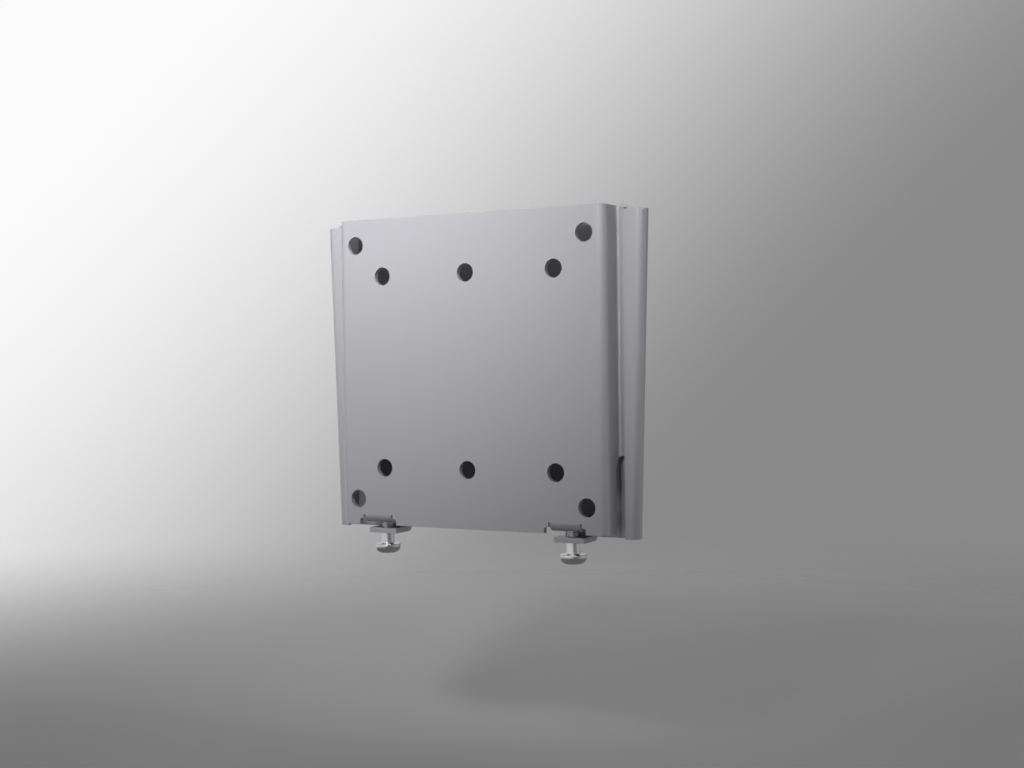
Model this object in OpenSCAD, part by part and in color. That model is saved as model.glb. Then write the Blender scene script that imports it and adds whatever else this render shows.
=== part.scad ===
// Fixed low-profile wall mount for a flat monitor, folded from two sheets of steel.
// The monitor plate drops from above into the tapered channels of the wall plate,
// and two screws from below pull it down into the taper and lock it.
// The origin is on the wall, level with the middle of the monitor plate's face.
// X is to the right, Y goes into the wall and Z is up, so the monitor is on the -Y side.

/* [Sheet metal] */
// Thickness of both sheets
sheet = 2; // [1.5:0.1:2.5]
// Radius inside every fold
fold_r = 1; // [0.5:0.1:1.5]
// Width of the relief cuts beside the wall plate's tabs and in its channels' upper ends
relief_w = 1.3; // [0.8:0.1:2]
// Width of the narrow cuts beside the monitor plate's tabs
lance_w = 0.6; // [0.4:0.1:1]

/* [Monitor plate] */
// Width of the face over its side folds
face_w = 116; // [112:1:126]
// Height of the face
face_h = 120; // [116:1:140]
// Side of the large square of monitor screw holes
vesa_large = 100; // [100:0.5:104]
// Side of the small square of monitor screw holes
vesa_small = 75; // [70:0.5:80]
// Diameter of the monitor screw holes
vesa_hole_d = 7; // [5:0.5:8]
// Depth of the shortened flanges below the lips, from the front of the face
short_flange = 8.7; // [6:0.1:10]
// Height above the face's lower edge at which the flanges are full depth again
lip_rise = 32; // [20:1:50]
// Height over which the flanges slope to their short depth
lip_slope = 8; // [4:0.5:12]

/* [Wall plate] */
// Width over the channels at the middle of the face's height
channel_w = 136.2; // [134:0.2:150]
// Lean of each channel, which makes the taper, in degrees
taper = 1.88; // [1:0.02:2.4]
// How far the channels stop below the top of the face
channel_drop = 1.5; // [0:0.5:4]
// How far the wall plate reaches below the face
plate_drop = 2; // [1:0.25:3]
// How far the middle of the wall plate stands above its channels
crown_h = 2; // [0.5:0.25:4]
// Width of the flat strip beside each channel's back fold, where the upper edge is low
shoulder_w = 2; // [1:0.25:3]
// How far the monitor plate's lips stop below the channels' upper ends
lip_drop = 0.5; // [0.5:0.25:2]
// How far the wall plate's lower edge rises above the face's, between its tabs
middle_rise = 2; // [1:0.25:3]
// Radius in the corners of that rise
middle_r = 1.5; // [0.5:0.25:2]
// How far the face stands in front of the channels' lips
face_standoff = 8.8; // [7:0.2:14]
// Gap between the face's flanges and the lips of the channels, seen from the front
mouth_gap = 3.25; // [2:0.25:4]
// Radius on the lips' upper corners
lip_corner_r = 2; // [1:0.25:3]

/* [Wall holes] */
// Distance between the two columns of slots
slot_x = 50; // [40:1:60]
// Distance between the upper and the lower holes
slot_z = 100; // [92:1:100]
// Length of a slot over its round ends
slot_len = 14; // [9:0.5:18]
// Diameter of the wall screw holes, and the width of the slots
wall_hole_d = 6.5; // [5:0.5:8]

/* [Lock screws and tabs] */
// Distance between the two lock screws
screw_x = 82; // [76:0.5:84]
// How far the screws' axis lies behind the front of the face
screw_setback = 7; // [6.8:0.1:7.5]
// Diameter of the lock screws
screw_d = 5; // [4:0.5:6]
// Length of a lock screw under its head
screw_len = 16; // [16:1:25]
// Diameter of a lock screw's head
head_d = 9.8; // [9:0.1:11]
// Height of a lock screw's head
head_h = 3.7; // [3:0.1:4.5]
// Play left between the screw heads and the wall plate's tabs
screw_play = 4.4; // [1:0.1:4.8]
// Width of the folded tabs
tab_w = 12.4; // [11:0.2:14]
// Length of the monitor plate's tabs, from the front of the face
tab_len = 11; // [10.5:0.1:12]
// How far the wall plate's tabs stop behind the front of the face
tab_setback = 3.2; // [2:0.1:3.2]
// How far the wall plate's tabs reach below the face
tab_drop = 3.6; // [3.6:0.1:5]
// How far the monitor plate's tabs lie above the face's lower edge
tab_rise = 0.8; // [0.6:0.1:1.4]
// Height of the notches in the face's lower edge
notch_h = 2.4; // [1.5:0.1:3]
// Width of the notches in the face's lower edge
notch_w = 17; // [16:0.2:22]
// Radius in the corners of the notches
notch_r = 1; // [0.5:0.1:1.4]

/* [Clearances] */
// Play between the sliding sheets, on each face
slide_gap = 0.3; // [0.1:0.05:0.4]
// Play between the monitor plate's lips and the corner inside the channels
wedge_gap = 0.2; // [0.1:0.05:0.4]
// Play round a screw in a hole that holds its thread, on the radius
thread_gap = 0.05; // [0.02:0.01:0.08]
// Play round a screw in a hole that it passes through, on the radius
pass_gap = 0.25; // [0.2:0.05:0.5]

/* [Hidden] */
$fn = 72;
// Past each cut's own faces
eps = 0.5;
// Radius outside a fold
fold_out = fold_r + sheet;
// Depth of the wall plate over its channels, with the monitor plate's lip between their walls
channel_depth = 3 * sheet + 2 * slide_gap;
// Depth of the whole mount, from the wall to the front of the face
depth = channel_depth + face_standoff;
face_top = face_h / 2;
face_low = -face_h / 2;
channel_top = face_top - channel_drop;
plate_low = face_low - plate_drop;
crown_top = channel_top + crown_h;
mouth_x = face_w / 2 + mouth_gap;
// Front and back of the monitor plate's lips, which run in the middle of the channels
lip_front = -2 * sheet - slide_gap;
lip_back = lip_front + sheet;
// How far the round corner inside a channel stands into it, level with the lip's faces
corner_bite = fold_r - sqrt(fold_r ^ 2 - max(0, fold_r - slide_gap) ^ 2);
// Distance from a channel's outer face to the edge of the lip inside it
lip_inset = sheet + corner_bite + wedge_gap;
// Length of an extrusion or a cut that goes well past both ends of the plates
long = 2 * face_h;
screw_y = -depth + screw_setback;
wall_tab_low = face_low - tab_drop;
wall_tab_front = -depth + tab_setback;
monitor_tab_low = face_low + tab_rise;
head_top = wall_tab_low - screw_play;
thread_r = screw_d / 2 + thread_gap;
pass_r = screw_d / 2 + pass_gap;
// Radius of the rounding on a screw head, and the size of its cross recess
head_round = 2.5;
recess_span = 4.6;
recess_w = 1.1;
recess_deep = 2.2;
// Chamfer on a screw's tip
tip_chamfer = 0.6;
silver_paint = [0.71, 0.71, 0.74];
bright_zinc = [0.86, 0.86, 0.85];

// Half width of the wall plate over its channels at a height z
function channel_x(z) = channel_w / 2 + z * tan(taper);

// The quarter ring that a fold leaves, in the quadrant between turn and turn + 90 degrees
module fold_2d(turn) {
    rotate(turn) intersection() {
        difference() {
            circle(fold_out);
            circle(fold_r);
        }
        square(fold_out);
    }
}

// A rectangle between two corners
module plate_2d(low, high) {
    translate(low) square(high - low);
}

// Turns a drawing of X and Z into a sheet that reaches forward from the plane at y
module facing(y, thick) {
    translate([0, y, 0]) rotate([90, 0, 0]) linear_extrude(thick) children();
}

// Turns a drawing of Y and Z into a strip centred on the plane at x
module across(x, wide) {
    translate([x - wide / 2, 0, 0]) rotate([90, 0, 90]) linear_extrude(wide) children();
}

// The same shape on both sides of the middle
module both_sides() {
    children();
    mirror([1, 0, 0]) children();
}

// Room in the lower edge of a sheet for its two tabs, each with a cut on either side
module tab_window_2d(low, top, cut_w) {
    half = tab_w / 2 + cut_w;
    both_sides() translate([screw_x / 2, 0]) {
        plate_2d([-half, low], [half, top]);
        both_sides() translate([half - cut_w / 2, top]) circle(cut_w / 2);
    }
}

// A notch in a lower edge, with round corners at its top
module notch_2d(wide, low, top, r) {
    half = wide / 2;
    plate_2d([-half, low], [half, top - r]);
    plate_2d([r - half, low], [half - r, top]);
    both_sides() translate([half - r, top - r]) circle(r);
}

// Section of half the wall plate, from its outer face at x = 0 inward and past the middle
module channel_2d() {
    plate_2d([-channel_w, -sheet], [-fold_out, 0]);
    translate([-fold_out, -fold_out]) fold_2d(0);
    plate_2d([-sheet, fold_out - channel_depth], [0, -fold_out]);
    translate([-fold_out, fold_out - channel_depth]) fold_2d(270);
    plate_2d([-channel_w, -channel_depth], [-fold_out, sheet - channel_depth]);
}

// The right-hand half leans out at the top, and its channel's lip ends on an upright edge
module wall_half() {
    difference() {
        translate([channel_w / 2, 0, 0]) rotate([0, taper, 0])
            linear_extrude(long, center = true) channel_2d();
        translate([-2 * face_w, -long, -long]) cube([2 * face_w, 2 * long, 2 * long]);
        translate([-eps, -channel_depth - eps, -long])
            cube([mouth_x + eps, channel_depth - fold_out + eps, 2 * long]);
        facing(2 * eps, channel_depth + 4 * eps) beyond_ends_2d();
        lip_corner();
        fold_relief();
    }
}

// All that is above an edge which falls from the crown to a low shoulder, beyond a start in x
module above_shoulder_2d(start, low) {
    polygon([[start, crown_top], [mouth_x, crown_top],
        [channel_x(channel_top) - fold_out - shoulder_w, low], [face_w, low],
        [face_w, 2 * long], [start, 2 * long]]);
}

// What is cut off above and below the right-hand half
module beyond_ends_2d() {
    above_shoulder_2d(-eps, channel_top);
    plate_2d([-eps, -2 * long], [face_w, plate_low]);
}

// What the round upper corner of a channel's lip cuts off
module lip_corner() {
    facing(-channel_depth + sheet + slide_gap / 2, sheet + eps) difference() {
        plate_2d([mouth_x - eps, channel_top - lip_corner_r],
            [mouth_x + lip_corner_r, channel_top + eps]);
        translate([mouth_x + lip_corner_r, channel_top - lip_corner_r]) circle(lip_corner_r);
    }
}

// The small round relief cut in the upper end of a channel's front fold
module fold_relief() {
    translate([channel_x(channel_top) - fold_out, fold_out - channel_depth, channel_top])
        rotate([0, 0, 45]) rotate([90, 0, 0]) cylinder(h = fold_out + eps, r = relief_w / 2);
}

// A tab folded forward from the wall plate's lower edge, under the monitor plate's tab
module wall_tab() {
    difference() {
        across(screw_x / 2, tab_w) {
            translate([-fold_out, wall_tab_low + fold_out]) fold_2d(270);
            plate_2d([wall_tab_front, wall_tab_low], [-fold_out, wall_tab_low + sheet]);
        }
        translate([screw_x / 2, screw_y, wall_tab_low - eps]) cylinder(h = sheet + 2 * eps, r = pass_r);
    }
}

// Holes in the back of the wall plate: four level slots, and two round holes for a post
module wall_holes_2d() {
    end = (slot_len - wall_hole_d) / 2;
    for (z = [-slot_z / 2, slot_z / 2]) {
        translate([0, z]) circle(wall_hole_d / 2);
        both_sides() translate([slot_x / 2, z]) {
            plate_2d([-end, -wall_hole_d / 2], [end, wall_hole_d / 2]);
            both_sides() translate([end, 0]) circle(wall_hole_d / 2);
        }
    }
}

module wall_plate() {
    color(silver_paint) {
        difference() {
            both_sides() wall_half();
            facing(eps, sheet + 2 * eps) {
                wall_holes_2d();
                tab_window_2d(plate_low - eps, wall_tab_low + fold_out, relief_w);
                notch_2d(screw_x - tab_w, plate_low - eps, face_low + middle_rise, middle_r);
            }
        }
        both_sides() wall_tab();
    }
}

// Right-hand half of the monitor plate's section: face, flange and outward lip
module monitor_half_2d() {
    side = face_w / 2;
    turn = side + fold_r;
    plate_2d([-eps, -depth], [side - fold_out, sheet - depth]);
    translate([side - fold_out, fold_out - depth]) fold_2d(270);
    plate_2d([side - sheet, fold_out - depth], [side, lip_front - fold_r]);
    translate([turn, lip_front - fold_r]) fold_2d(90);
    plate_2d([turn, lip_front], [channel_x(face_top), lip_back]);
}

// What is cut off outside the right-hand lip, so that it keeps to the channel's taper
module beyond_lip() {
    translate([channel_w / 2 - lip_inset, lip_front - eps, 0]) rotate([0, taper, 0])
        translate([0, 0, -long]) cube([2 * channel_depth, sheet + 2 * eps, 2 * long]);
}

// What is cut off behind the flanges below the lips
module below_lips() {
    short_y = short_flange - depth;
    rise = face_low + lip_rise;
    across(0, 2 * face_w) polygon([[short_y, face_low - eps], [eps, face_low - eps],
        [eps, rise], [lip_back, rise], [short_y, rise - lip_slope]]);
}

// A tab folded back from the face in its notch, with the hole that holds the lock screw's thread
module monitor_tab() {
    difference() {
        across(screw_x / 2, tab_w) {
            translate([fold_out - depth, monitor_tab_low + fold_out]) fold_2d(180);
            plate_2d([fold_out - depth, monitor_tab_low], [tab_len - depth, monitor_tab_low + sheet]);
        }
        translate([screw_x / 2, screw_y, monitor_tab_low - eps])
            cylinder(h = sheet + 2 * eps, r = thread_r);
    }
}

// Monitor screw holes: two squares, and one pair on the centre line
module monitor_holes_2d() {
    for (side = [vesa_large, vesa_small], x = [-1, 1], z = [-1, 1])
        translate([x, z] * side / 2) circle(vesa_hole_d / 2);
    for (z = [-1, 1]) translate([0, z * vesa_small / 2]) circle(vesa_hole_d / 2);
}

module monitor_plate() {
    color(silver_paint) {
        difference() {
            linear_extrude(face_h, center = true) both_sides() monitor_half_2d();
            both_sides() beyond_lip();
            both_sides() facing(lip_back + eps, sheet + 2 * eps)
                above_shoulder_2d(mouth_x - eps, channel_top - lip_drop);
            below_lips();
            facing(sheet + eps - depth, sheet + 2 * eps) {
                monitor_holes_2d();
                both_sides() translate([screw_x / 2, 0])
                    notch_2d(notch_w, face_low - eps, face_low + notch_h, notch_r);
                tab_window_2d(face_low - eps, monitor_tab_low + fold_out, lance_w);
            }
        }
        both_sides() monitor_tab();
    }
}

// Half section of a lock screw, upright on its axis with the head below
module screw_2d() {
    low = -head_h;
    r = head_d / 2;
    plate_2d([0, low], [r - head_round, 0]);
    plate_2d([0, low + head_round], [r, 0]);
    intersection() {
        translate([r - head_round, low + head_round]) circle(head_round);
        plate_2d([r - head_round, low], [r, low + head_round]);
    }
    polygon([[0, -eps], [screw_d / 2, -eps], [screw_d / 2, screw_len - tip_chamfer],
        [screw_d / 2 - tip_chamfer, screw_len], [0, screw_len]]);
}

// The cross recess in a screw's head, narrower at its bottom
module cross_recess() {
    top = recess_span / 2;
    for (turn = [0, 90])
        rotate([0, 0, turn]) translate([0, recess_w / 2, -head_h]) rotate([90, 0, 0])
            linear_extrude(recess_w)
                polygon([[-top, -eps], [top, -eps], [top, 0], [top / 2, recess_deep],
                    [-top / 2, recess_deep], [-top, 0]]);
}

module lock_screw(side) {
    color(bright_zinc) translate([side * screw_x / 2, screw_y, head_top]) difference() {
        rotate_extrude() screw_2d();
        cross_recess();
    }
}

module lock_screw_left() {
    lock_screw(-1);
}

module lock_screw_right() {
    lock_screw(1);
}

wall_plate();
monitor_plate();
lock_screw_left();
lock_screw_right();
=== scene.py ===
# %% [markdown]
# # A fixed monitor mount in painted sheet steel
#
# The object is small and plain: two folded sheets of steel and two screws. All of its looks come
# from three things. The light has to roll over the folds, the cut edges of the sheets have to catch
# a thin line of it, and the paint and the zinc have to be told apart by their gloss.
#
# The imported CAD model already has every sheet, fold and hole at its real size. This script loads it,
# sets up the camera and the studio, and then dresses the pieces one at a time.

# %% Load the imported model
import math

import bmesh
import bpy
from mathutils import Matrix, Vector


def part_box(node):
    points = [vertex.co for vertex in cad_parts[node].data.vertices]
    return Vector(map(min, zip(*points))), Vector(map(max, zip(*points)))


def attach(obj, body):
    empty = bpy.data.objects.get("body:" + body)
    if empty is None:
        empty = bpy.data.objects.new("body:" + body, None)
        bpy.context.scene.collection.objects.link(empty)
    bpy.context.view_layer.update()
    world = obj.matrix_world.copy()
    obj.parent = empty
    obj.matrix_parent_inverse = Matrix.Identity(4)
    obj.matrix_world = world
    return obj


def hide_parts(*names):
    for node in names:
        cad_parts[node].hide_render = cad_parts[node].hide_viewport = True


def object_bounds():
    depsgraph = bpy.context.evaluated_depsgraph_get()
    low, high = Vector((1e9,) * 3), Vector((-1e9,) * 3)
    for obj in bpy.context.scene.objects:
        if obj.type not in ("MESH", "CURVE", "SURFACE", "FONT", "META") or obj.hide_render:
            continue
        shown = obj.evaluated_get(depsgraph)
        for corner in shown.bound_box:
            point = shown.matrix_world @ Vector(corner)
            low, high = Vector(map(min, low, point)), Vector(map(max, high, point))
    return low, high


MM = 0.001
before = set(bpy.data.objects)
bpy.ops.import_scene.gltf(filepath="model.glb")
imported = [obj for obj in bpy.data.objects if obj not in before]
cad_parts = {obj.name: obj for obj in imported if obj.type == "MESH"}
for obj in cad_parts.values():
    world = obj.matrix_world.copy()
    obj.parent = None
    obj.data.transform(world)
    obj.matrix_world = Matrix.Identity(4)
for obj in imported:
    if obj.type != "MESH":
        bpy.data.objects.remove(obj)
cad_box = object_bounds()
for node_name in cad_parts:
    low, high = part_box(node_name)
    print(node_name, "is", [round((b - a) / MM, 1) for a, b in zip(low, high)], "mm")


# %% [markdown]
# ## The camera
#
# The ten screw holes of the monitor plate lie on two squares of known size, 100 mm and 75 mm. That is
# enough to work out where the photographer stood: about half a metre away, on the right, and almost
# level with the middle of the plate. The turn, nod and lean of that camera are written here as three
# angles, which are easier to read and to change than a matrix.

# %% Camera at the photograph's viewing angle
FACE_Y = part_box("monitor_plate")[0][1]
CAMERA_PLACE = Vector((271.3 * MM, FACE_Y - 462.7 * MM, 2.3 * MM))
CAMERA_TURN = math.radians(28.53)
CAMERA_NOD = math.radians(-0.78)
CAMERA_LEAN = math.radians(-0.70)
FOCAL_LENGTH = 49.7
SENSOR_WIDTH = 36
NEAREST_SEEN = 10 * MM


def camera_axes(turn, nod, lean):
    """The camera's right, up and backward directions, as a rotation matrix."""
    forward = Vector((-math.sin(turn) * math.cos(nod), math.cos(turn) * math.cos(nod), math.sin(nod)))
    level = Vector((math.cos(turn), math.sin(turn), 0))
    upright = level.cross(forward)
    right = math.cos(lean) * level + math.sin(lean) * upright
    up = math.cos(lean) * upright - math.sin(lean) * level
    return Matrix((right, up, -forward)).transposed()


camera_data = bpy.data.cameras.new("camera")
camera_data.lens = FOCAL_LENGTH
camera_data.sensor_width = SENSOR_WIDTH
camera_data.clip_start = NEAREST_SEEN
camera = bpy.data.objects.new("camera", camera_data)
camera.matrix_world = (
    Matrix.Translation(CAMERA_PLACE) @ camera_axes(CAMERA_TURN, CAMERA_NOD, CAMERA_LEAN).to_4x4()
)
bpy.context.scene.collection.objects.link(camera)
bpy.context.scene.camera = camera
bpy.context.scene.view_settings.view_transform = "Standard"
print("the camera stands", round(CAMERA_PLACE.length, 3), "m from the mount")


# %% [markdown]
# ## Small helpers for shader nodes
#
# A material is a handful of nodes and the links between them. Four helpers keep the rest readable.
# One adds a node and sets its values, and one links two sockets. One eases a value from nought to one
# between two ends. The last tells whether a ray comes from the camera, from a mirror or from something
# see-through, because the studio shows more of itself to those than it gives as light.

# %% Helpers for shader nodes
def add_node(tree, kind, **values):
    """Adds a shader node and sets its properties, or its inputs by name."""
    node = tree.nodes.new(kind)
    for name, value in values.items():
        if hasattr(node, name):
            setattr(node, name, value)
        else:
            node.inputs[name.replace("_", " ")].default_value = value
    return node


def link(tree, source, target):
    """Links an output socket to an input socket."""
    tree.links.new(source, target)


def eased_share(tree, value, start, stop):
    """How far a value has come from start to stop, from nought to one, eased at both ends."""
    share = add_node(tree, "ShaderNodeMapRange", interpolation_type="SMOOTHSTEP")
    share.inputs["From Min"].default_value = start
    share.inputs["From Max"].default_value = stop
    link(tree, value, share.inputs["Value"])
    return share.outputs["Result"]


def seen_share(tree):
    """One for rays from the camera, a mirror or something see-through, and nought for all others."""
    path = add_node(tree, "ShaderNodeLightPath")
    mirrored = add_node(tree, "ShaderNodeMath", operation="MAXIMUM")
    seen = add_node(tree, "ShaderNodeMath", operation="MAXIMUM")
    link(tree, path.outputs["Is Glossy Ray"], mirrored.inputs[0])
    link(tree, path.outputs["Is Transmission Ray"], mirrored.inputs[1])
    link(tree, path.outputs["Is Camera Ray"], seen.inputs[0])
    link(tree, mirrored.outputs["Value"], seen.inputs[1])
    return seen.outputs["Value"]


# %% [markdown]
# ## A plain studio
#
# The background is one soft slope of pale grey, lighter towards the upper left and darker towards
# the lower right, as in the photograph. It depends only on the direction in which it is seen, so it
# has no seam. Past the edge of the photograph it grows pale again, for the views from other sides.
# The camera sees it, and so do mirror-like and see-through rays, which is what gives the zinc and the
# paint something to reflect. The light that the world itself gives is much weaker and quite even, so
# the folds still fall into shade.
#
# The floor is a pale disc well below the mount. It takes the same grey towards its rim, where it
# fades out, so no horizon cuts the picture behind the object. A weak glow keeps it pale, also in the
# mount's shadow. Only the camera, mirror-like surfaces and see-through ones get to see that glow. The
# floor's lower side is see-through, for a look from below.

# %% World
SLOPE_AXIS = Vector((-0.62, -0.34, 0.707))
SLOPE_START = -0.15
SLOPE_STOP = 0.32
DARK_END = (0.25, 0.25, 0.25, 1)
LIGHT_END = (0.96, 0.96, 0.96, 1)
FAR_START = -0.42
FAR_STOP = -0.75
FAR_END = (0.62, 0.62, 0.62, 1)
WORLD_LIGHT = 0.02


def make_world(strength):
    """Weak even light, and a pale slope of grey wherever the camera looks past the object."""
    world = bpy.data.worlds.new("studio")
    bpy.context.scene.world = world
    world.use_nodes = True
    tree = world.node_tree
    tree.nodes.clear()
    direction = add_node(tree, "ShaderNodeTexCoord")
    along = add_node(tree, "ShaderNodeVectorMath", operation="DOT_PRODUCT")
    along.inputs[1].default_value = SLOPE_AXIS
    slope = add_node(tree, "ShaderNodeMix", data_type="RGBA")
    slope.inputs["A"].default_value = DARK_END
    slope.inputs["B"].default_value = LIGHT_END
    whole = add_node(tree, "ShaderNodeMix", data_type="RGBA")
    whole.inputs["B"].default_value = FAR_END
    backdrop = add_node(tree, "ShaderNodeBackground", Strength=1.0)
    glow = add_node(tree, "ShaderNodeBackground", Color=(1, 1, 1, 1), Strength=strength)
    mix = add_node(tree, "ShaderNodeMixShader")
    out = add_node(tree, "ShaderNodeOutputWorld")
    link(tree, direction.outputs["Generated"], along.inputs[0])
    near = eased_share(tree, along.outputs["Value"], SLOPE_START, SLOPE_STOP)
    far = eased_share(tree, along.outputs["Value"], FAR_START, FAR_STOP)
    link(tree, near, slope.inputs["Factor"])
    link(tree, far, whole.inputs["Factor"])
    link(tree, slope.outputs["Result"], whole.inputs["A"])
    link(tree, whole.outputs["Result"], backdrop.inputs["Color"])
    link(tree, seen_share(tree), mix.inputs["Fac"])
    link(tree, glow.outputs["Background"], mix.inputs[1])
    link(tree, backdrop.outputs["Background"], mix.inputs[2])
    link(tree, mix.outputs["Shader"], out.inputs["Surface"])


make_world(WORLD_LIGHT)
print("the world is made; its own light has a strength of", WORLD_LIGHT)


# %% Floor
FLOOR_DROP = 90 * MM
FLOOR_RADIUS = 0.9
FLOOR_COLOUR = (0.42, 0.42, 0.42, 1)
FLOOR_GLOW = (0.05, 0.05, 0.05, 1)
FLOOR_SIDES = 96
# Share of the way in from the rim at which the floor is no longer see-through
FLOOR_SOLID = 0.8


def studio_paper(radius):
    """Matt paper that fades out towards a radius, with a weak glow, and see-through from below."""
    paper = bpy.data.materials.new("studio_paper")
    paper.use_nodes = True
    tree = paper.node_tree
    tree.nodes.clear()
    place = add_node(tree, "ShaderNodeTexCoord")
    shrink = add_node(tree, "ShaderNodeMapping", Scale=(1 / radius, 1 / radius, 0))
    spread = add_node(tree, "ShaderNodeTexGradient", gradient_type="SPHERICAL")
    matte = add_node(tree, "ShaderNodeBsdfDiffuse", Color=FLOOR_COLOUR)
    glow = add_node(tree, "ShaderNodeEmission", Color=FLOOR_GLOW)
    paler = add_node(tree, "ShaderNodeAddShader")
    clear = add_node(tree, "ShaderNodeBsdfTransparent")
    side = add_node(tree, "ShaderNodeNewGeometry")
    upper = add_node(tree, "ShaderNodeMath", operation="SUBTRACT")
    upper.inputs[0].default_value = 1.0
    cover = add_node(tree, "ShaderNodeMath", operation="MULTIPLY")
    mix = add_node(tree, "ShaderNodeMixShader")
    out = add_node(tree, "ShaderNodeOutputMaterial")
    link(tree, place.outputs["Object"], shrink.inputs["Vector"])
    link(tree, shrink.outputs["Vector"], spread.inputs["Vector"])
    link(tree, side.outputs["Backfacing"], upper.inputs[1])
    link(tree, eased_share(tree, spread.outputs["Fac"], 0, FLOOR_SOLID), cover.inputs[0])
    link(tree, upper.outputs["Value"], cover.inputs[1])
    link(tree, cover.outputs["Value"], mix.inputs["Fac"])
    link(tree, clear.outputs["BSDF"], mix.inputs[1])
    link(tree, seen_share(tree), glow.inputs["Strength"])
    link(tree, matte.outputs["BSDF"], paler.inputs[0])
    link(tree, glow.outputs["Emission"], paler.inputs[1])
    link(tree, paler.outputs["Shader"], mix.inputs[2])
    link(tree, mix.outputs["Shader"], out.inputs["Surface"])
    return paper


def make_floor(height, radius):
    """A flat pale disc that fades away from its middle."""
    mesh = bmesh.new()
    bmesh.ops.create_circle(mesh, cap_ends=True, segments=FLOOR_SIDES, radius=radius,
                            matrix=Matrix.Translation((0, 0, height)))
    data = bpy.data.meshes.new("floor")
    mesh.to_mesh(data)
    mesh.free()
    data.materials.append(studio_paper(radius))
    floor = bpy.data.objects.new("floor", data)
    bpy.context.scene.collection.objects.link(floor)
    return floor


floor_height = cad_box[0].z - FLOOR_DROP
make_floor(floor_height, FLOOR_RADIUS)
print("the floor is at", round(floor_height, 3), "m")


# %% [markdown]
# ## Lamps
#
# In the photograph the plate is brightest at its upper left corner and falls off evenly to the lower
# right. The strip of sheet at the bottom of the right-hand channel is as bright as the plate, while
# the folds on the left are dark, so the light comes from almost straight ahead. The main lamp stands
# there. Its light is held to a cone that is aimed past the upper left corner, which makes the
# fall-off. A lamp on the left adds the soft sheen of the paint, one on the right lights the flange and
# draws the line along its fold, and two above reach in behind the plate, where the holes show it.
# Two weak lamps behind keep the back readable from other angles. They aren't mirrored, so they draw no
# stray glints on the edges that face up.
#
# The powers were worked out, not guessed: the scene was rendered with each lamp alone, and the shares
# were chosen that come closest to the brightness of the plate in the photograph.

# %% Lamps
def make_lamp(name, place, aim, width, height, power, cone=180):
    """A rectangular lamp, unseen by the camera, that points from place to aim in a cone in degrees."""
    data = bpy.data.lights.new(name, "AREA")
    data.spread = math.radians(cone)
    data.shape = "RECTANGLE"
    data.size = width
    data.size_y = height
    data.energy = power
    lamp = bpy.data.objects.new(name, data)
    lamp.location = place
    lamp.rotation_euler = (Vector(aim) - Vector(place)).to_track_quat("-Z", "Y").to_euler()
    lamp.visible_camera = False
    bpy.context.scene.collection.objects.link(lamp)
    return lamp


make_lamp("main_lamp", (0.05, -0.42, 0.25), (-0.075, 0, 0.11), 0.08, 0.08, 0.25, cone=53)
make_lamp("sheen_lamp", (-0.25, -0.38, 0.13), (-0.02, 0, 0.02), 0.18, 0.18, 0.10)
make_lamp("fold_lamp", (0.35, -0.31, 0.17), (0.06, 0, 0.06), 0.02, 0.16, 0.04, cone=70)
make_lamp("upper_lamp", (0.20, -0.05, 0.35), (0.05, 0, 0), 0.15, 0.15, 0.2)
make_lamp("slot_lamp", (-0.03, 0.02, 0.30), (0, 0, 0), 0.20, 0.08, 0.05)
for back_lamp in (
    make_lamp("back_left_lamp", (-0.6, 0.7, 0.4), (0, 0, 0), 0.6, 0.6, 4.0),
    make_lamp("back_right_lamp", (0.8, 0.4, 0.3), (0, 0, 0), 0.5, 0.5, 0.8),
):
    back_lamp.visible_glossy = False


# %% [markdown]
# ## Silver paint
#
# The sheets are sprayed with a silver-grey paint and baked. Seen close, such paint has tiny flakes
# that vary its brightness, and a skin that isn't quite level, like the peel of an orange. Both are
# wanted in more than one finish, so each is a node group with named inputs, built once.

# %% Node groups for flakes and for an uneven skin
# The middle of a noise texture's values, and how much finer the ripples are than the waves
NOISE_MIDDLE = 0.5
RIPPLE_FINENESS = 4.0


def new_group(name, inputs, outputs):
    """An empty shader group with float inputs, and outputs given as name and socket type."""
    group = bpy.data.node_groups.new(name, "ShaderNodeTree")
    for label, value in inputs.items():
        socket = group.interface.new_socket(name=label, in_out="INPUT", socket_type="NodeSocketFloat")
        socket.default_value = value
    for label, kind in outputs.items():
        group.interface.new_socket(name=label, in_out="OUTPUT", socket_type=kind)
    return group, group.nodes.new("NodeGroupInput"), group.nodes.new("NodeGroupOutput")


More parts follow.
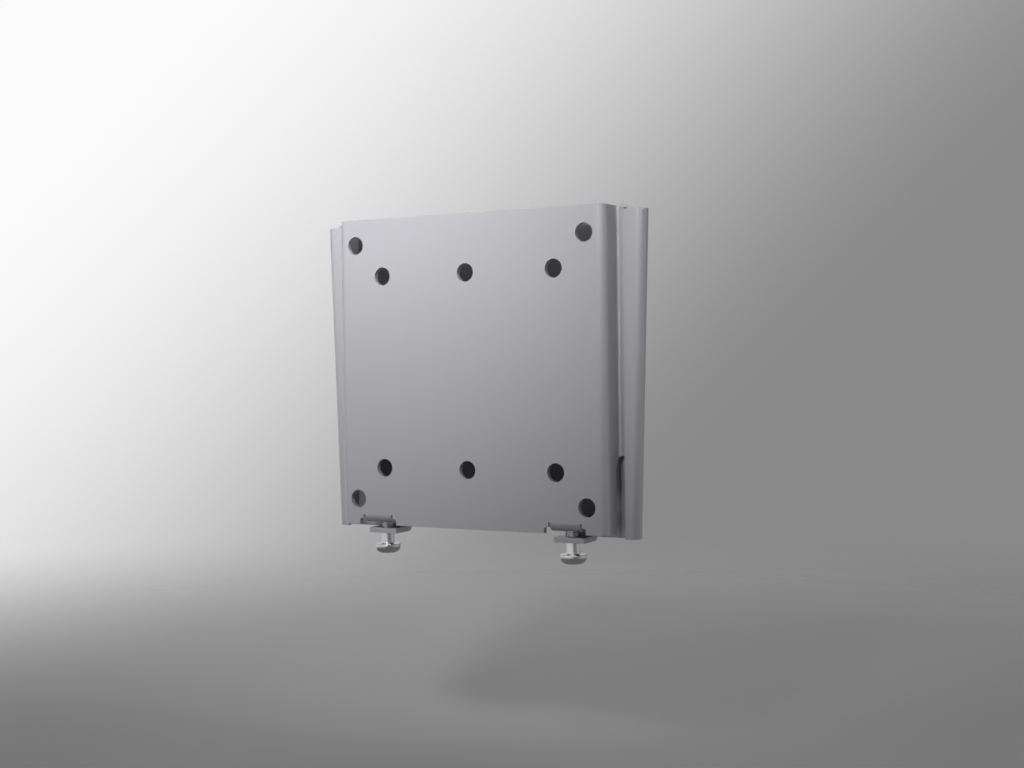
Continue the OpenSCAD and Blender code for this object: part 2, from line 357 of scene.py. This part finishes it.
def flake_group():
    """Fine light and dark specks, and a slow drift, both round a value of one."""
    group, start, end = new_group(
        "flakes", {"Grains per metre": 4000.0, "Fleck": 0.1, "Drift": 0.03}, {"Value": "NodeSocketFloat"}
    )
    place = add_node(group, "ShaderNodeTexCoord")
    fine = add_node(group, "ShaderNodeTexNoise", Detail=2.0, Roughness=0.6)
    slow = add_node(group, "ShaderNodeTexNoise", Scale=26.0, Detail=3.0)
    fine_part = add_node(group, "ShaderNodeMath", operation="MULTIPLY_ADD")
    slow_part = add_node(group, "ShaderNodeMath", operation="MULTIPLY_ADD")
    fine_middle = add_node(group, "ShaderNodeMath", operation="SUBTRACT")
    slow_middle = add_node(group, "ShaderNodeMath", operation="SUBTRACT")
    fine_middle.inputs[1].default_value = NOISE_MIDDLE
    slow_middle.inputs[1].default_value = NOISE_MIDDLE
    fine_part.inputs[2].default_value = 1.0
    link(group, place.outputs["Object"], fine.inputs["Vector"])
    link(group, place.outputs["Object"], slow.inputs["Vector"])
    link(group, start.outputs["Grains per metre"], fine.inputs["Scale"])
    link(group, fine.outputs["Fac"], fine_middle.inputs[0])
    link(group, slow.outputs["Fac"], slow_middle.inputs[0])
    link(group, fine_middle.outputs["Value"], fine_part.inputs[0])
    link(group, start.outputs["Fleck"], fine_part.inputs[1])
    link(group, slow_middle.outputs["Value"], slow_part.inputs[0])
    link(group, start.outputs["Drift"], slow_part.inputs[1])
    link(group, fine_part.outputs["Value"], slow_part.inputs[2])
    link(group, slow_part.outputs["Value"], end.inputs["Value"])
    return group


def skin_group():
    """The height of a sprayed skin: low soft waves with finer ones on them."""
    group, start, end = new_group(
        "sprayed_skin", {"Waves per metre": 700.0, "Fine share": 0.3}, {"Height": "NodeSocketFloat"}
    )
    place = add_node(group, "ShaderNodeTexCoord")
    waves = add_node(group, "ShaderNodeTexNoise", Detail=1.0)
    ripples = add_node(group, "ShaderNodeTexNoise", Detail=2.0)
    finer = add_node(group, "ShaderNodeMath", operation="MULTIPLY")
    total = add_node(group, "ShaderNodeMath", operation="MULTIPLY_ADD")
    finer.inputs[1].default_value = RIPPLE_FINENESS
    link(group, place.outputs["Object"], waves.inputs["Vector"])
    link(group, place.outputs["Object"], ripples.inputs["Vector"])
    link(group, start.outputs["Waves per metre"], waves.inputs["Scale"])
    link(group, start.outputs["Waves per metre"], finer.inputs[0])
    link(group, finer.outputs["Value"], ripples.inputs["Scale"])
    link(group, ripples.outputs["Fac"], total.inputs[0])
    link(group, start.outputs["Fine share"], total.inputs[1])
    link(group, waves.outputs["Fac"], total.inputs[2])
    link(group, total.outputs["Value"], end.inputs["Height"])
    return group


FLAKES = flake_group()
SKIN = skin_group()
print("node groups made:", FLAKES.name, "and", SKIN.name)


# %% Helpers that both finishes share
def tinted(tree, colour, value):
    """A colour that is multiplied by a varying value."""
    tint = add_node(tree, "ShaderNodeMix", data_type="RGBA", blend_type="MULTIPLY")
    tint.inputs["Factor"].default_value = 1.0
    tint.inputs["A"].default_value = (*colour, 1)
    link(tree, value, tint.inputs["B"])
    return tint.outputs["Result"]


def add_flakes(tree, shader, colour, roughness, **values):
    """Lets the flakes vary a shader's colour and its gloss."""
    flakes = add_node(tree, "ShaderNodeGroup", node_tree=FLAKES)
    for label, value in values.items():
        flakes.inputs[label.replace("_", " ")].default_value = value
    gloss = add_node(tree, "ShaderNodeMath", operation="MULTIPLY")
    gloss.inputs[1].default_value = roughness
    link(tree, tinted(tree, colour, flakes.outputs["Value"]), shader.inputs["Base Color"])
    link(tree, flakes.outputs["Value"], gloss.inputs[0])
    link(tree, gloss.outputs["Value"], shader.inputs["Roughness"])


def add_skin(tree, shader, waves, strength, height):
    """Lets the uneven skin tilt a shader's surface a little."""
    skin = add_node(tree, "ShaderNodeGroup", node_tree=SKIN)
    skin.inputs["Waves per metre"].default_value = waves
    bump = add_node(tree, "ShaderNodeBump", Strength=strength, Distance=height)
    link(tree, skin.outputs["Height"], bump.inputs["Height"])
    link(tree, bump.outputs["Normal"], shader.inputs["Normal"])


# %% Silver paint
PAINT_COLOUR = (0.476, 0.47, 0.502)
PAINT_ROUGHNESS = 0.4


def silver_paint():
    """Semi-gloss silver-grey paint: a plain colour with a little of a metal's sheen, under a thin coat."""
    material = bpy.data.materials.new("silver_paint")
    material.use_nodes = True
    tree = material.node_tree
    shader = tree.nodes["Principled BSDF"]
    shader.inputs["Metallic"].default_value = 0.12
    shader.inputs["Roughness"].default_value = PAINT_ROUGHNESS
    shader.inputs["Coat Weight"].default_value = 0.25
    shader.inputs["Coat Roughness"].default_value = 0.2
    add_flakes(tree, shader, PAINT_COLOUR, PAINT_ROUGHNESS, Fleck=0.14)
    add_skin(tree, shader, waves=700, strength=0.12, height=0.1 * MM)
    return material


PAINT = silver_paint()
print("paint made:", PAINT.name)


# %% [markdown]
# ## The two folded sheets
#
# Each plate was stamped from a 2 mm sheet and folded in a press. The CAD solid has the exact form, but
# its corners are perfectly sharp, and nothing stamped and painted is. One way is to model the plates
# again here. A better one is to take a copy of the CAD mesh, weld its loose triangles, and let a Bevel
# modifier break each sharp edge by a fifth of a millimetre: the form can't drift from the CAD.
#
# A fold is a smooth curve and a cut edge is a corner, so edges are sorted by the angle between their
# faces. Flat areas are dissolved to large faces first, which gives the bevel clean ground.

# %% Dress a plate with broken edges
CORNER_ANGLE = math.radians(35)
FLAT_ANGLE = math.radians(0.3)
EDGE_BREAK = 0.22 * MM
EDGE_STEPS = 2
PLATE_WELD = 0.001 * MM


def mark_corners(mesh):
    """Smooths a mesh's faces, and keeps the edges sharp where they meet at a corner."""
    for face in mesh.faces:
        face.smooth = True
    for edge in mesh.edges:
        edge.smooth = edge.calc_face_angle(0) < CORNER_ANGLE


def welded_copy(node_name, piece_name):
    """A copy of a CAD node as one welded mesh, with flat areas as large faces."""
    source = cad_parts[node_name]
    mesh = bmesh.new()
    mesh.from_mesh(source.data)
    bmesh.ops.remove_doubles(mesh, verts=mesh.verts, dist=PLATE_WELD)
    bmesh.ops.dissolve_limit(mesh, angle_limit=FLAT_ANGLE, use_dissolve_boundaries=False,
                             verts=mesh.verts, edges=mesh.edges)
    mark_corners(mesh)
    data = bpy.data.meshes.new(piece_name)
    mesh.to_mesh(data)
    mesh.free()
    piece = bpy.data.objects.new(piece_name, data)
    bpy.context.scene.collection.objects.link(piece)
    return piece


def break_edges(piece, width):
    """A live Bevel modifier that rounds every sharp corner a little."""
    bevel = piece.modifiers.new("broken_edges", "BEVEL")
    bevel.width = width
    bevel.segments = EDGE_STEPS
    bevel.limit_method = "ANGLE"
    bevel.angle_limit = CORNER_ANGLE
    bevel.harden_normals = True
    bevel.use_clamp_overlap = True


def dress_plate(node_name, piece_name):
    """A painted sheet with broken edges, in the place of its CAD node."""
    piece = welded_copy(node_name, piece_name)
    break_edges(piece, EDGE_BREAK)
    piece.data.materials.append(PAINT)
    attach(piece, node_name)
    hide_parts(node_name)
    print(piece_name, "has", len(piece.data.polygons), "faces before its bevel")


dress_plate("wall_plate", "wall_sheet")
dress_plate("monitor_plate", "monitor_sheet")


# %% [markdown]
# ## Zinc-plated screws
#
# Each lock screw is an M5 machine screw with a pan head and a cross recess. The head and the plain
# part of the shank are one profile, spun round the axis. The thread is a spin too, but one that climbs
# by a pitch each turn, so a single V-shaped profile becomes a helix.

# %% Bright zinc
ZINC_COLOUR = (0.5, 0.5, 0.51)
ZINC_ROUGHNESS = 0.22


def bright_zinc():
    """Bright zinc plating: a metal with a slightly uneven gloss."""
    material = bpy.data.materials.new("bright_zinc")
    material.use_nodes = True
    tree = material.node_tree
    shader = tree.nodes["Principled BSDF"]
    shader.inputs["Metallic"].default_value = 1.0
    add_flakes(tree, shader, ZINC_COLOUR, ZINC_ROUGHNESS, Grains_per_metre=2500, Fleck=0.12)
    add_skin(tree, shader, waves=1500, strength=0.1, height=0.05 * MM)
    return material


ZINC = bright_zinc()
print("zinc made:", ZINC.name)


# %% Sizes of the screw
HEAD_HEIGHT = 3.7 * MM
HEAD_ROUND = 2.5 * MM
SHANK_RADIUS = 2.5 * MM
PLAIN_SHANK = 5.4 * MM
PITCH = 0.8 * MM
THREAD_DEPTH = 0.42 * MM
RECESS_SPAN = 4.6 * MM
RECESS_WIDTH = 1.1 * MM
RECESS_DEPTH = 2.2 * MM
# What is left of the recess's span and of its width at its bottom
SPAN_TAPER = 0.5
WIDTH_TAPER = 0.8
RIM_ROUND = 0.25 * MM
NECK_ROUND = 0.3 * MM
TIP_CHAMFER = 0.9 * MM
# The head's bearing face stops this far short, so that it doesn't share a plane with the tab it meets
BEARING_GAP = 0.03 * MM
# Steps of a full turn, of the head's large rounding and of a small one
ROUND_STEPS = 64
HEAD_STEPS = 10
SMALL_STEPS = 4
SCREW_WELD = 0.0005 * MM


def screw_frame(node_name):
    """From the CAD node: the axis at the head's bearing face, the head's radius and the tip's height."""
    low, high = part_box(node_name)
    axis = Vector(((low[0] + high[0]) / 2, (low[1] + high[1]) / 2, low[2] + HEAD_HEIGHT))
    return axis, (high[0] - low[0]) / 2, high[2]


# %% Head and shank as one spun profile
def arc(centre, radius, start, stop, steps):
    """Points of an arc in the plane of a spin, as distance from the axis and height."""
    turns = [math.radians(start + (stop - start) * i / steps) for i in range(steps + 1)]
    return [(centre[0] + radius * math.cos(t), centre[1] + radius * math.sin(t)) for t in turns]


def spun(mesh, profile):
    """Spins a profile of distance and height once round Z, and closes its seam and poles."""
    corners = [mesh.verts.new((r, 0, z)) for r, z in profile]
    edges = [mesh.edges.new(pair) for pair in zip(corners, corners[1:])]
    bmesh.ops.spin(mesh, geom=corners + edges, cent=(0, 0, 0), axis=(0, 0, 1), dvec=(0, 0, 0),
                   angle=2 * math.pi, steps=ROUND_STEPS, use_merge=True, use_duplicate=False)
    bmesh.ops.remove_doubles(mesh, verts=mesh.verts, dist=SCREW_WELD)
    bmesh.ops.recalc_face_normals(mesh, faces=mesh.faces)


def head_profile(head_radius):
    """From the middle of the head's lower face, round its rim, to the end of the plain shank."""
    low = -HEAD_HEIGHT
    return [
        (0, low),
        *arc((head_radius - HEAD_ROUND, low + HEAD_ROUND), HEAD_ROUND, -90, 0, HEAD_STEPS),
        *arc((head_radius - RIM_ROUND, -RIM_ROUND - BEARING_GAP), RIM_ROUND, 0, 90, SMALL_STEPS),
        *arc((SHANK_RADIUS + NECK_ROUND, NECK_ROUND - BEARING_GAP), NECK_ROUND, 270, 180, SMALL_STEPS),
        (SHANK_RADIUS, PLAIN_SHANK),
        (0, PLAIN_SHANK),
    ]


# %% Thread as a spin that climbs
def add_thread(mesh, top):
    """A V-shaped thread from the plain shank to the tip, trimmed flat at both ends and chamfered."""
    crest = SHANK_RADIUS
    root = SHANK_RADIUS - THREAD_DEPTH
    start = PLAIN_SHANK - PITCH
    # Distance from the axis, and height as a share of the pitch
    profile = [(root, 0.0), (root, 0.12), (crest, 0.44), (crest, 0.56), (root, 0.88), (root, 1.0)]
    turns = math.ceil((top - start) / PITCH) + 1
    corners = [mesh.verts.new((r, 0, start + share * PITCH)) for r, share in profile]
    edges = [mesh.edges.new(pair) for pair in zip(corners, corners[1:])]
    bmesh.ops.spin(mesh, geom=corners + edges, cent=(0, 0, 0), axis=(0, 0, 1),
                   dvec=(0, 0, PITCH / ROUND_STEPS), angle=2 * math.pi * turns,
                   steps=ROUND_STEPS * turns, use_merge=False, use_duplicate=False)
    bmesh.ops.remove_doubles(mesh, verts=mesh.verts, dist=SCREW_WELD)
    for height, upward in ((PLAIN_SHANK, -1), (top, 1)):
        geometry = mesh.verts[:] + mesh.edges[:] + mesh.faces[:]
        cut = bmesh.ops.bisect_plane(mesh, geom=geometry, plane_co=(0, 0, height),
                                     plane_no=(0, 0, upward), clear_outer=True)
        rim = [part for part in cut["geom_cut"] if isinstance(part, bmesh.types.BMEdge)]
        bmesh.ops.contextual_create(mesh, geom=rim)
    for vert in mesh.verts:
        allowed = SHANK_RADIUS - max(0, vert.co.z - (top - TIP_CHAMFER))
        distance = Vector(vert.co[:2]).length
        if distance > allowed:
            vert.co.x *= allowed / distance
            vert.co.y *= allowed / distance
    bmesh.ops.recalc_face_normals(mesh, faces=mesh.faces)


# %% Cross recess
def recess_cutter():
    """Two crossed blades that narrow towards the bottom of the recess."""
    mesh = bmesh.new()
    for turn, x_taper, y_taper in ((0, SPAN_TAPER, WIDTH_TAPER), (90, WIDTH_TAPER, SPAN_TAPER)):
        blade = bmesh.ops.create_cube(mesh, size=1, matrix=Matrix.Rotation(math.radians(turn), 4, "Z")
                                      @ Matrix.Diagonal((RECESS_SPAN, RECESS_WIDTH, 2 * RECESS_DEPTH, 1)))
        for vert in blade["verts"]:
            if vert.co.z > 0:
                vert.co.x *= x_taper
                vert.co.y *= y_taper
        bmesh.ops.translate(mesh, verts=blade["verts"], vec=(0, 0, -HEAD_HEIGHT))
    data = bpy.data.meshes.new("recess_cutter")
    mesh.to_mesh(data)
    mesh.free()
    cutter = bpy.data.objects.new("recess_cutter", data)
    bpy.context.scene.collection.objects.link(cutter)
    return cutter


def applied(piece):
    """Replaces a piece's mesh by what its modifiers make of it."""
    evaluated = piece.evaluated_get(bpy.context.evaluated_depsgraph_get())
    result = bpy.data.meshes.new_from_object(evaluated)
    piece.modifiers.clear()
    piece.data = result


# %% Build and place both screws
def make_screw(node_name):
    """One detailed screw in the place of its CAD node."""
    axis, head_radius, tip = screw_frame(node_name)
    data = bpy.data.meshes.new(node_name + "_detailed")
    piece = bpy.data.objects.new(node_name + "_detailed", data)
    bpy.context.scene.collection.objects.link(piece)
    mesh = bmesh.new()
    spun(mesh, head_profile(head_radius))
    mesh.to_mesh(data)
    mesh.free()

    cutter = recess_cutter()
    cut = piece.modifiers.new("recess", "BOOLEAN")
    cut.object = cutter
    cut.operation = "DIFFERENCE"
    cut.solver = "EXACT"
    cut.use_self = True
    applied(piece)
    bpy.data.objects.remove(cutter)

    mesh = bmesh.new()
    mesh.from_mesh(piece.data)
    thread = bmesh.new()
    add_thread(thread, tip - axis.z)
    spare = bpy.data.meshes.new("thread")
    thread.to_mesh(spare)
    thread.free()
    mesh.from_mesh(spare)
    mark_corners(mesh)
    bmesh.ops.translate(mesh, verts=mesh.verts, vec=axis)
    mesh.to_mesh(piece.data)
    mesh.free()

    piece.data.materials.append(ZINC)
    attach(piece, node_name)
    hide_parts(node_name)
    print(piece.name, "has", len(piece.data.polygons), "faces")


for side in ("left", "right"):
    make_screw("lock_screw_" + side)
